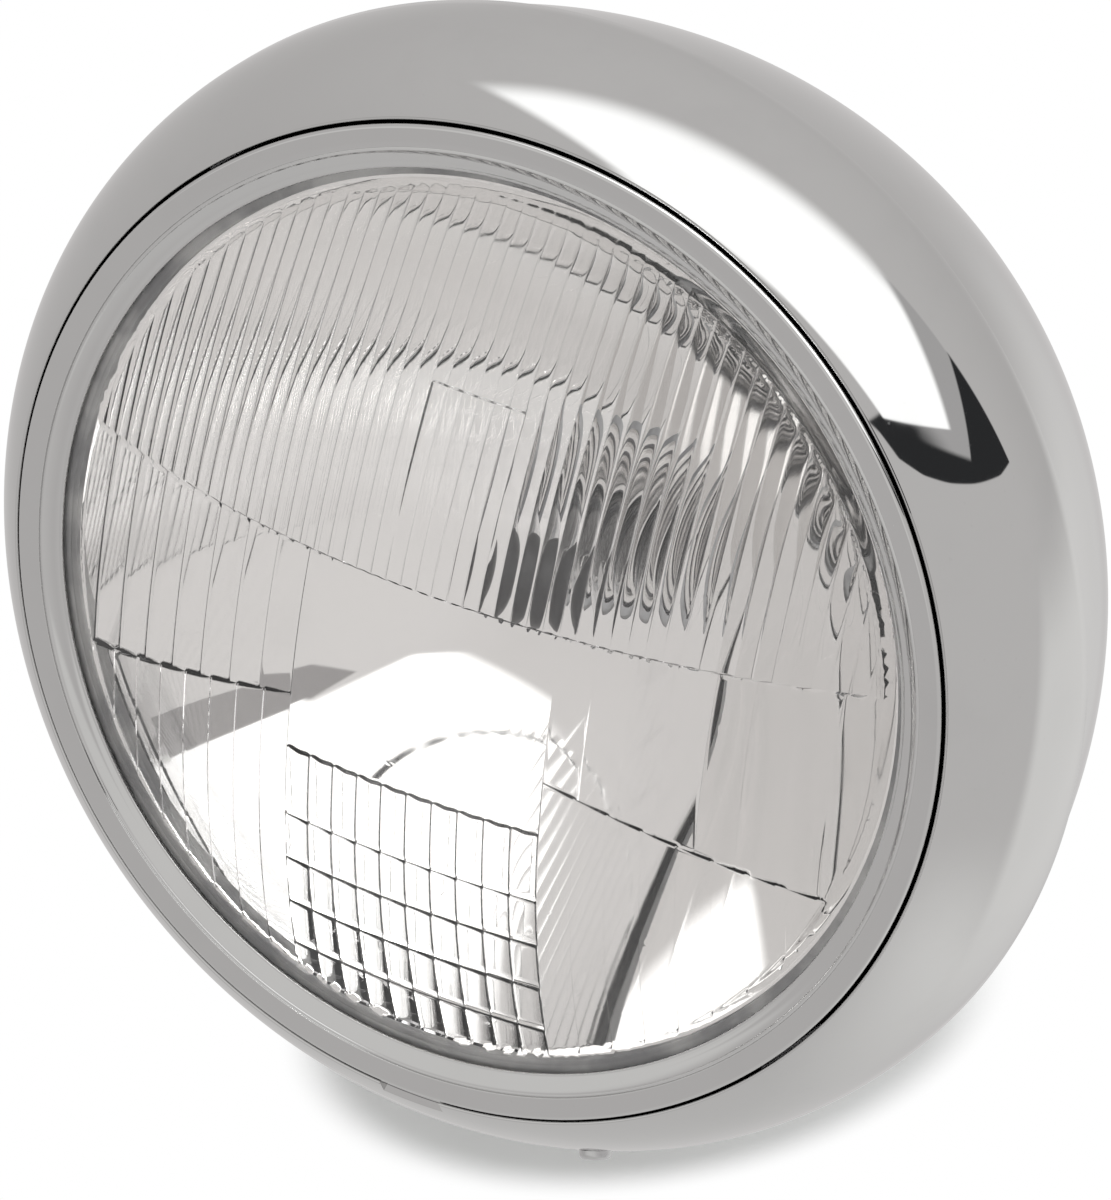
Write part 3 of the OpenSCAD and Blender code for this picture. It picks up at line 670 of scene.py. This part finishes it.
def mirror_path(offset, first, last, steps):
    """The reflector's curve, moved out along its normal."""
    sizes = bpy.context.scene.lamp_reflector
    vertex = reflector_vertex()
    path = []
    for i in range(steps + 1):
        r = first + (last - first) * i / steps
        slope = math.atan(r / (2 * sizes.focal))
        bowl = vertex + r * r / (4 * sizes.focal)
        path.append((r + offset * math.sin(slope), bowl - offset * math.cos(slope)))
    return path


def dome_shape():
    """Radius of the glass dome and the place of its centre."""
    g = bpy.context.scene.lamp_glass
    rise = DOME_H + g.drop
    radius = (g.dome_edge ** 2 + rise ** 2) / (2 * rise)
    return radius, DOME_H - radius


def reflector_front():
    """Place of the reflector's flange, behind the glass and the seal."""
    glass = bpy.context.scene.lamp_glass
    return -glass.drop - glass.thickness - bpy.context.scene.lamp_reflector.seal


def reflector_vertex():
    """Place of the parabola's vertex."""
    sizes = bpy.context.scene.lamp_reflector
    return reflector_front() - sizes.opening ** 2 / (4 * sizes.focal)


def build_reflector():
    """The drawn reflector bowl with its flange and bulb hole."""
    sizes = bpy.context.scene.lamp_reflector
    front = reflector_front()
    inner = mirror_path(0, sizes.bulb_hole, sizes.opening, 90)
    outer = [p for p in mirror_path(sizes.sheet, sizes.opening, sizes.bulb_hole, 90)
             if p[1] < front - sizes.sheet]
    flange = [(FLANGE_R, front), (FLANGE_R, front - sizes.sheet),
              (sizes.opening + 1.4 * MM, front - sizes.sheet)]
    return finish_mesh(turned(inner + flange + outer, 256), "reflector_bowl", "reflector_mirror",
                       ["reflector"])


def smooth_step(edge0, edge1, value):
    """Goes smoothly from 0 at the first edge to 1 at the second."""
    t = min(max((value - edge0) / (edge1 - edge0), 0.0), 1.0)
    return t * t * (3 - 2 * t)


def lobes(x, pitch, depth, groove):
    """Rounded flutes of equal pitch that meet in narrow, rounded grooves."""
    g = bpy.context.scene.lamp_glass
    u = (x / pitch) % 1.0
    aside = min(u, 1 - u) * pitch
    return 4 * depth * u * (1 - u) - groove * (1 - smooth_step(0, g.groove_half, aside))


def prisms(x, pitch, depth, width):
    """Wedges that grow thicker along x and step back over a short width."""
    u = (x / pitch) % 1.0
    edge = width / pitch
    return depth * (u / (1 - edge) if u < 1 - edge else (1 - u) / edge)


def block_wave(x):
    """The scalloped top edge of the prism block."""
    g = bpy.context.scene.lamp_glass
    return 0.4 * MM * math.sin(math.pi * (x + g.block_half) / g.block_column) ** 2


def block_depth(x, up):
    """The prism block: columns of shallow flutes in rows that lean further from row to row."""
    g = bpy.context.scene.lamp_glass
    below = -up - g.block_top
    row = 0 if below < g.first_row else 1 + int((below - g.first_row) / g.block_row)
    row = min(row, 4)
    start = 0 if row == 0 else g.first_row + (row - 1) * g.block_row
    tall = g.first_row if row == 0 else g.block_row
    lean = (0.15, 0.4, 0.5, 0.6, 0.7)[row] * MM
    columns = lobes(x + g.block_half, g.block_column, g.column_depth, 2.8 * g.groove_depth)
    lines = lobes(below - start, tall, 0, 2 * g.groove_depth)
    return columns + lines + prisms(below - start, tall, lean, 0.24 * MM)


def pattern_depth(x, up):
    """How far the glass's pattern stands out of the plain inner dome."""
    g = bpy.context.scene.lamp_glass
    soft = 0.14 * MM
    base = 0.15 * MM
    side = abs(x)
    if up > g.fine_edge - soft:
        window = smooth_step(g.window_half + soft, g.window_half, side)
        window *= smooth_step(g.window_top + soft, g.window_top, up)
        window *= smooth_step(g.fine_edge + 4 * MM, g.window_top, up)
        flutes = lobes(x + g.field, g.fine_pitch, g.fine_depth, g.groove_depth)
        depth = 2 * base + flutes + window * g.window_depth
    elif side > g.block_half:
        kink = -g.kink_drop - (side - g.block_half) * math.tan(g.kink_angle)
        under = smooth_step(kink + soft, kink - soft, up)
        wide = base + lobes(side - g.block_half, g.wide_pitch, g.wide_depth, g.groove_depth)
        low = 2 * base + prisms(side - g.block_half, g.low_pitch, g.low_depth, g.groove_half)
        depth = wide * (1 - under) + low * under
    else:
        edge = -g.block_top - block_wave(x)
        under = smooth_step(edge + soft, edge - soft, up)
        depth = base * 0.5 * (1 - under) + (2 * base + block_depth(x, up)) * under
    return depth * smooth_step(g.field, g.field - 0.6 * MM, math.hypot(x, up))


def flute_stops(start, pitch, count, flutes):
    """Places of the mesh columns across a row of flutes, close together at the grooves."""
    g = bpy.context.scene.lamp_glass
    near = g.groove_half / 2
    inner = count - 5
    offsets = [0, near, g.groove_half]
    offsets += [g.groove_half + (pitch - 2 * g.groove_half) * (k + 1) / (inner + 1) for k in range(inner)]
    offsets += [pitch - g.groove_half, pitch - near]
    return [start + pitch * n + offset for n in range(flutes) for offset in offsets]


def row_stops():
    """Heights of the mesh rows, close together at the pattern's straight edges."""
    g = bpy.context.scene.lamp_glass
    near = 0.14 * MM
    edges = [g.window_top, g.fine_edge, -g.kink_drop, -g.block_top]
    edges += [-g.block_top - g.first_row - n * g.block_row for n in range(4)]
    edges = sorted(edges)
    stops = []
    low = -g.field
    for edge in edges + [g.field]:
        count = max(1, round((edge - near - low) / (0.74 * MM)))
        stops += [low + (edge - near - low) * k / count for k in range(count)]
        if edge < g.field:
            stops += [edge - near, edge]
            low = edge + near
    return stops + [g.field]


def lens_grid():
    """A grid whose columns follow the flutes and whose rows follow the pattern's edges."""
    g = bpy.context.scene.lamp_glass
    fine = flute_stops(-g.field, g.fine_pitch, 9, 52) + [g.field]
    low = {}
    for name, pitch, count, flutes in (("wide", g.wide_pitch, 18, 8), ("low", g.low_pitch, 16, 9)):
        right = flute_stops(g.block_half, pitch, count, flutes) + [g.field]
        middle = flute_stops(-g.block_half, g.block_column, 18, 10)
        low[name] = [-x for x in reversed(right)][:-1] + middle + right
    rows = row_stops()
    mesh = bmesh.new()
    bmesh.ops.create_grid(mesh, x_segments=len(fine) - 1, y_segments=len(rows) - 1, size=1)
    tangent = math.tan(g.kink_angle)
    for vert in mesh.verts:
        i = round((vert.co.x + 1) / 2 * (len(fine) - 1))
        up = rows[round((vert.co.y + 1) / 2 * (len(rows) - 1))]
        if up > g.fine_edge - 0.05 * MM:
            x = fine[i]
        else:
            x = low["wide" if up > -g.kink_drop else "low"][i]
            drop = max(abs(x) - g.block_half, 0) * tangent
            span = g.fine_edge + g.kink_drop
            share = (g.fine_edge - up) / span
            if up <= -g.kink_drop:
                share = (up + g.field) / (g.field - g.kink_drop)
            up -= drop * share
            if abs(x) < g.block_half:
                up -= block_wave(x) * max(0, 1 - abs(up + g.block_top) / (6 * MM))
        vert.co.x, vert.co.y = x, up
    return mesh


def build_lens():
    """The glass: a smooth dome outside and the moulded pattern inside."""
    g = bpy.context.scene.lamp_glass
    dome, centre = dome_shape()
    inside = dome - g.thickness
    edge = -g.drop
    back = edge - g.thickness
    inner_edge = math.sqrt(inside ** 2 - (back - centre) ** 2)
    seam = g.field + 1.4 * MM
    mesh = lens_grid()
    outside = [f for f in mesh.faces if f.calc_center_median().length > g.field + 0.2 * MM]
    bmesh.ops.delete(mesh, geom=outside, context="FACES")
    loose = [v for v in mesh.verts if not v.link_faces]
    bmesh.ops.delete(mesh, geom=loose, context="VERTS")
    for vert in mesh.verts:
        x, up = vert.co.x, vert.co.y
        reach = inside - pattern_depth(x, up)
        vert.co.z = centre + math.sqrt(max(reach ** 2 - x * x - up * up, 0))
    ragged = [e for e in mesh.edges if e.is_boundary]
    steps = 192
    seam_z = centre + math.sqrt(inside ** 2 - seam ** 2)
    circle = bmesh.ops.create_circle(mesh, cap_ends=False, segments=steps, radius=seam)["verts"]
    bmesh.ops.translate(mesh, vec=(0, 0, seam_z), verts=circle)
    ring = [e for e in mesh.edges if e.verts[0] in circle and e.verts[1] in circle]
    bmesh.ops.triangle_fill(mesh, edges=ragged + ring, use_beauty=True, use_dissolve=False)
    seam_turn = math.degrees(math.acos(seam / inside))
    back_turn = math.degrees(math.acos(inner_edge / inside))
    shell = arc((0, centre), inside, seam_turn, back_turn, 4)
    shell += [(FLANGE_R, back), (FLANGE_R, edge), (g.dome_edge, edge)]
    shell += arc((0, centre), dome, math.degrees(math.acos(g.dome_edge / dome)), 90, 32)[1:]
    shell[-1] = (0, DOME_H)
    skin = bmesh.new()
    points = [skin.verts.new((r, 0, z)) for r, z in shell]
    edges = [skin.edges.new((a, b)) for a, b in zip(points, points[1:])]
    bmesh.ops.spin(skin, geom=points + edges, cent=(0, 0, 0), axis=(0, 0, 1),
                   angle=2 * math.pi, steps=steps, use_merge=True)
    bmesh.ops.remove_doubles(skin, verts=skin.verts, dist=1e-6)
    part = bpy.data.meshes.new("dome")
    skin.to_mesh(part)
    skin.free()
    mesh.from_mesh(part)
    bpy.data.meshes.remove(part)
    bmesh.ops.remove_doubles(mesh, verts=mesh.verts, dist=5e-6)
    bmesh.ops.transform(mesh, matrix=lamp_matrix(), verts=mesh.verts)
    return finish_mesh(mesh, "fluted_glass", "lens_glass", ["lens"], crease=60)


def build_tip():
    """The dark paint on the bulb's tip."""
    low, high = node_box("bulb_glass")
    tip = RING_Y - low.y
    radius = (high.x - low.x) / 2
    skin = 0.05 * MM
    band = 7.6 * MM
    outer = [(radius + skin, tip - band)] + arc((0, tip - radius), radius + skin, 0, 90, 16)
    inner = arc((0, tip - radius), radius + skin * 0.2, 90, 0, 16) + [(radius + skin * 0.2, tip - band)]
    mesh = turned(outer + inner, 64)
    return finish_mesh(mesh, "bulb_tip", "bulb_tip")


# Stage
# Outlines in the sky as [x over z, y over z, softness of the side that starts there].


SOFTBOX = [(-0.74, -0.17, 0.12), (0.68, 0.3, 0.05), (1.6, -0.08, 0.015), (1.28, -1.17, 0.03),
           (-0.22, -0.77, 0.05)]
FRONT_CARD = [(-0.7, -0.3, 0.1), (0.3, -0.3, 0.1), (1.35, -0.3, 0.05), (1.06, -1.84, 0.05),
              (0.7, -2.0, 0.1), (-0.5, -1.5, 0.1), (-0.62, -0.7, 0.06)]
LAMP_TUBE = [(-0.3, -0.3, 0.05), (0.1, -0.1, 0.05), (1.0, -0.05, 0.05), (0.95, -0.2, 0.05),
             (0.1, -0.25, 0.05)]
SCREEN = [(1.1, 0.56, 0.02), (2.46, 1.38, 0.02), (2.52, 0.87, 0.02), (2.4, 0, 0.02), (2.23, -0.69, 0.02),
          (2.02, -1.22, 0.02), (1.73, -1.56, 0.02), (1.26, -1.5, 0.02)]
WEDGE = [(0.6, 0.3, 0.02), (1.12, 0.56, 0.02), (2.02, 0.1, 0.05), (1.72, -0.5, 0.3), (1.4, -0.6, 0.1)]
SKY_HIGH, SKY_LOW = (0.72, 0.705, 0.70, 1), (0.645, 0.63, 0.626, 1)
SKY_RIGHT, FRONT_LIGHT = (0.715, 0.70, 0.695, 1), (0.84, 0.83, 0.82, 1)
FLOOR_LIGHT, FLOOR_FRONT = (0.94, 0.93, 0.92, 1), (0.70, 0.69, 0.685, 1)
SOFT_WHITE, TUBE_WHITE = (1.7, 1.7, 1.7, 1), (14, 14, 14, 1)
SCREEN_DARK, SCREEN_PALE = (0.035, 0.036, 0.038, 1), (0.3, 0.29, 0.29, 1)
WEDGE_GREY, MATT_LIGHT = (0.56, 0.55, 0.55, 1), (0.55, 0.55, 0.55, 1)


def patch(tree, u, v, corners):
    """A mask that is 1 inside a clockwise outline; each side has its own softness."""
    mask = None
    for (u0, v0, soft), (u1, v1, _) in zip(corners, corners[1:] + corners[:1]):
        length = math.hypot(u1 - u0, v1 - v0)
        a, b = (v1 - v0) / length, -(u1 - u0) / length
        side = tree.math("MULTIPLY_ADD", u, a, -(a * u0 + b * v0))
        side = tree.math("MULTIPLY_ADD", v, b, side)
        edge = tree.ramp(side, -soft, soft)
        mask = edge if mask is None else tree.math("MULTIPLY", mask, edge)
    return mask


def toward(tree, x, y, azimuth):
    """How far a direction points to an azimuth, counted from the front towards the right."""
    turn = math.radians(azimuth)
    return tree.math("MULTIPLY_ADD", x, math.sin(turn), tree.math("MULTIPLY", y, -math.cos(turn)))


def studio_world():
    """White for the camera; softbox, dark screen, grey walls and pale ground for gloss and glass."""
    world = bpy.data.worlds.new("studio")
    bpy.context.scene.world = world
    world.use_nodes = True
    world.cycles.sampling_method = "NONE"
    world.node_tree.nodes.clear()
    tree = Tree(world.node_tree)
    way = tree.add("ShaderNodeTexCoord").outputs["Generated"]
    x, y, z = tree.add("ShaderNodeSeparateXYZ", Vector=way).outputs
    height = tree.math("MAXIMUM", z, 0.02)
    u = tree.math("DIVIDE", x, height)
    v = tree.math("DIVIDE", y, height)
    above = tree.ramp(z, 0.05, 0.12)
    wall = tree.mix(tree.ramp(toward(tree, x, y, 75), 0.2, 0.8), SKY_LOW, SKY_RIGHT)
    wall = tree.mix(tree.ramp(z, 0.2, 0.95), wall, SKY_HIGH)
    front = tree.math("MULTIPLY", tree.ramp(toward(tree, x, y, -10), 0.6, 0.85), tree.ramp(z, -0.2, -0.1))
    path = tree.add("ShaderNodeLightPath")
    inside = path.outputs["Is Transmission Ray"]
    wall = tree.mix(tree.math("MULTIPLY", front, tree.math("SUBTRACT", 1.0, inside)), wall, FRONT_LIGHT)
    horizon = tree.math("MULTIPLY_ADD", tree.ramp(toward(tree, x, y, 150), 0.6, 0.86), 0.62, -0.5)
    depth = tree.math("SUBTRACT", horizon, z)
    ground = tree.mix(tree.ramp(toward(tree, x, y, 110), 0.1, 0.7), FLOOR_FRONT, FLOOR_LIGHT)
    wall = tree.mix(tree.ramp(depth, 0.0, 0.32), wall, ground)
    dark = tree.mix(inside, SCREEN_DARK, SCREEN_PALE)
    wall = tree.mix(tree.math("MULTIPLY", patch(tree, u, v, SCREEN), above), wall, dark)
    wall = tree.mix(tree.math("MULTIPLY", patch(tree, u, v, WEDGE), above), wall, WEDGE_GREY)
    light = tree.mix(tree.math("MULTIPLY", patch(tree, u, v, SOFTBOX), above), wall, SOFT_WHITE)
    card = tree.math("MULTIPLY", tree.math("MULTIPLY", patch(tree, u, v, FRONT_CARD), above), inside)
    light = tree.mix(card, light, SOFT_WHITE)
    light = tree.mix(tree.math("MULTIPLY", patch(tree, u, v, LAMP_TUBE), above), light, TUBE_WHITE)
    light = tree.mix(path.outputs["Is Diffuse Ray"], light, MATT_LIGHT)
    color = tree.mix(path.outputs["Is Camera Ray"], light, (1, 1, 1, 1))
    back = tree.add("ShaderNodeBackground", Color=color, Strength=1.0)
    out = tree.add("ShaderNodeOutputWorld")
    tree.tree.links.new(back.outputs[0], out.inputs["Surface"])


def build_lamp():
    """A broad soft lamp from the left that lights only matt surfaces."""
    data = bpy.data.lights.new("soft_lamp", "AREA")
    data.shape = "DISK"
    data.size = 0.9
    data.energy = 18
    data.use_shadow = True
    lamp = bpy.data.objects.new("soft_lamp", data)
    bpy.context.scene.collection.objects.link(lamp)
    place = Vector((-1.1, -0.35, 1.3))
    turn = (lamp_point(0, 0, 0) - place).to_track_quat("-Z", "Y").to_matrix().to_4x4()
    lamp.matrix_world = Matrix.Translation(place) @ turn
    lamp.visible_glossy = False
    lamp.visible_transmission = False
    lamp.visible_camera = False


def build_floor():
    """A pale floor that keeps the shadow under the lamp and fades into the white background."""
    shadow_x, shadow_y, shadow_middle = 57 * MM, 94 * MM, 35 * MM
    mesh = bmesh.new()
    bmesh.ops.create_circle(mesh, cap_ends=True, segments=96, radius=1.6)
    bmesh.ops.translate(mesh, vec=(0, 0, -0.0004), verts=mesh.verts)
    data = bpy.data.meshes.new("floor")
    mesh.to_mesh(data)
    mesh.free()
    floor = bpy.data.objects.new("floor", data)
    bpy.context.scene.collection.objects.link(floor)
    material, tree, output = new_material("floor")
    place = tree.add("ShaderNodeTexCoord").outputs["Object"]
    x, y, _ = tree.add("ShaderNodeSeparateXYZ", Vector=place).outputs
    across = tree.math("DIVIDE", x, shadow_x)
    along = tree.math("DIVIDE", tree.math("SUBTRACT", y, shadow_middle), shadow_y)
    along = tree.math("MULTIPLY", along, along)
    distance = tree.math("SQRT", tree.math("MULTIPLY_ADD", across, across, along))
    far = tree.ramp(distance, 0.82, 1.0)
    diffuse = tree.add("ShaderNodeBsdfDiffuse", Color=(0.9, 0.915, 0.905, 1))
    glow = tree.add("ShaderNodeEmission", Color=(0.14, 0.14, 0.14, 1), Strength=1.0)
    near = tree.add("ShaderNodeAddShader", i0=diffuse.outputs[0], i1=glow.outputs[0])
    white = tree.add("ShaderNodeEmission", Color=(1, 1, 1, 1), Strength=1.0)
    blend = tree.add("ShaderNodeMixShader", i0=far, i1=near.outputs[0], i2=white.outputs[0])
    path = tree.add("ShaderNodeLightPath")
    studio = tree.add("ShaderNodeBsdfTransparent")
    shown = tree.math("MAXIMUM", path.outputs["Is Glossy Ray"], path.outputs["Is Transmission Ray"])
    final = tree.add("ShaderNodeMixShader", i0=shown, i1=blend.outputs[0], i2=studio.outputs[0])
    tree.tree.links.new(final.outputs[0], output.inputs["Surface"])
    data.materials.append(material)


def build_camera():
    """A view from the right and above, with the lamp leaning a little."""
    photo_w, photo_h = 1111, 1200
    sensor = 36.0
    azimuth, elevation, lean = math.radians(25.34), math.radians(25.22), math.radians(8.26)
    distance = 4.0
    pixel = MM / 5.7205
    ring_px = (473.9, 626.0)
    back = Vector((math.sin(azimuth) * math.cos(elevation), -math.cos(azimuth) * math.cos(elevation),
                   math.sin(elevation)))
    side = Vector((math.cos(azimuth), math.sin(azimuth), 0))
    rise = back.cross(side)
    right = side * math.cos(lean) + rise * math.sin(lean)
    up = rise * math.cos(lean) - side * math.sin(lean)
    target = lamp_point(0, 0, 0)
    target += right * (photo_w / 2 - ring_px[0]) * pixel
    target += up * (ring_px[1] - photo_h / 2) * pixel
    data = bpy.data.cameras.new("camera")
    camera = bpy.data.objects.new("camera", data)
    bpy.context.scene.collection.objects.link(camera)
    data.sensor_width = sensor
    data.sensor_fit = "AUTO"
    data.lens = sensor * distance / (pixel * photo_h)
    data.clip_start, data.clip_end = 0.05, 20
    turn = Matrix((right, up, back)).transposed().to_4x4()
    camera.matrix_world = Matrix.Translation(target + back * distance) @ turn
    bpy.context.scene.camera = camera


class HEADLIGHT_OT_stage(bpy.types.Operator):
    """Make the camera, the studio world and the floor."""

    bl_idname = "headlight.stage"
    bl_label = "Studio"

    def execute(self, context):
        build_camera()
        studio_world()
        build_lamp()
        build_floor()
        context.scene.view_settings.view_transform = "Standard"
        return {"FINISHED"}


class HEADLIGHT_OT_shell(bpy.types.Operator):
    """Make the chrome bell and bucket."""

    bl_idname = "headlight.shell"
    bl_label = "Bell and Bucket"

    def execute(self, context):
        build_bell()
        build_bucket()
        return {"FINISHED"}


class HEADLIGHT_OT_trim_ring(bpy.types.Operator):
    """Make the trim ring round the glass."""

    bl_idname = "headlight.trim_ring"
    bl_label = "Trim Ring"

    def execute(self, context):
        build_trim_ring()
        return {"FINISHED"}


class HEADLIGHT_OT_glass(bpy.types.Operator):
    """Make the fluted glass."""

    bl_idname = "headlight.glass"
    bl_label = "Fluted Glass"

    def execute(self, context):
        build_lens()
        return {"FINISHED"}


class HEADLIGHT_OT_reflector(bpy.types.Operator):
    """Make the reflector and the bulb's painted tip."""

    bl_idname = "headlight.reflector"
    bl_label = "Reflector and Bulb"

    def execute(self, context):
        build_reflector()
        build_tip()
        return {"FINISHED"}


class HEADLIGHT_OT_fixings(bpy.types.Operator):
    """Give every solid that stays its finish."""

    bl_idname = "headlight.fixings"
    bl_label = "Finishes of the Solids"

    def execute(self, context):
        slots = {entry["node"]: entry["material_slot"] for entry in frame["record"]["subparts"]}
        for name, solid in frame["nodes"].items():
            solid.data.materials.clear()
            solid.data.materials.append(MATERIALS[slots[name]])
        return {"FINISHED"}


class HEADLIGHT_PT_panel(bpy.types.Panel):
    """Lists the headlight's pieces and sizes."""

    bl_idname = "HEADLIGHT_PT_panel"
    bl_label = "Headlight"
    bl_space_type = "VIEW_3D"
    bl_region_type = "UI"
    bl_category = "Headlight"

    def draw(self, context):
        for operator in OPERATORS:
            self.layout.operator(operator.bl_idname)
        for group in GROUPS:
            sizes = getattr(context.scene, group)
            for name in sizes.__annotations__:
                self.layout.prop(sizes, name)


GROUPS = {
    "lamp_shell": ShellSizes,
    "lamp_glass": GlassSizes,
    "lamp_reflector": LampSizes,
    "lamp_finishes": Finishes,
}
OPERATORS = [
    HEADLIGHT_OT_stage,
    HEADLIGHT_OT_fixings,
    HEADLIGHT_OT_shell,
    HEADLIGHT_OT_trim_ring,
    HEADLIGHT_OT_reflector,
    HEADLIGHT_OT_glass,
]


def register():
    for group in GROUPS.values():
        bpy.utils.register_class(group)
    for operator in OPERATORS:
        bpy.utils.register_class(operator)
    bpy.utils.register_class(HEADLIGHT_PT_panel)
    for name, group in GROUPS.items():
        setattr(bpy.types.Scene, name, bpy.props.PointerProperty(type=group))


def unregister():
    for name in GROUPS:
        delattr(bpy.types.Scene, name)
    bpy.utils.unregister_class(HEADLIGHT_PT_panel)
    for operator in reversed(OPERATORS):
        bpy.utils.unregister_class(operator)
    for group in reversed(list(GROUPS.values())):
        bpy.utils.unregister_class(group)


def main():
    register()
    make_materials()
    for operator in OPERATORS:
        family, name = operator.bl_idname.split(".")
        getattr(getattr(bpy.ops, family), name)()


if __name__ == "__main__":
    main()
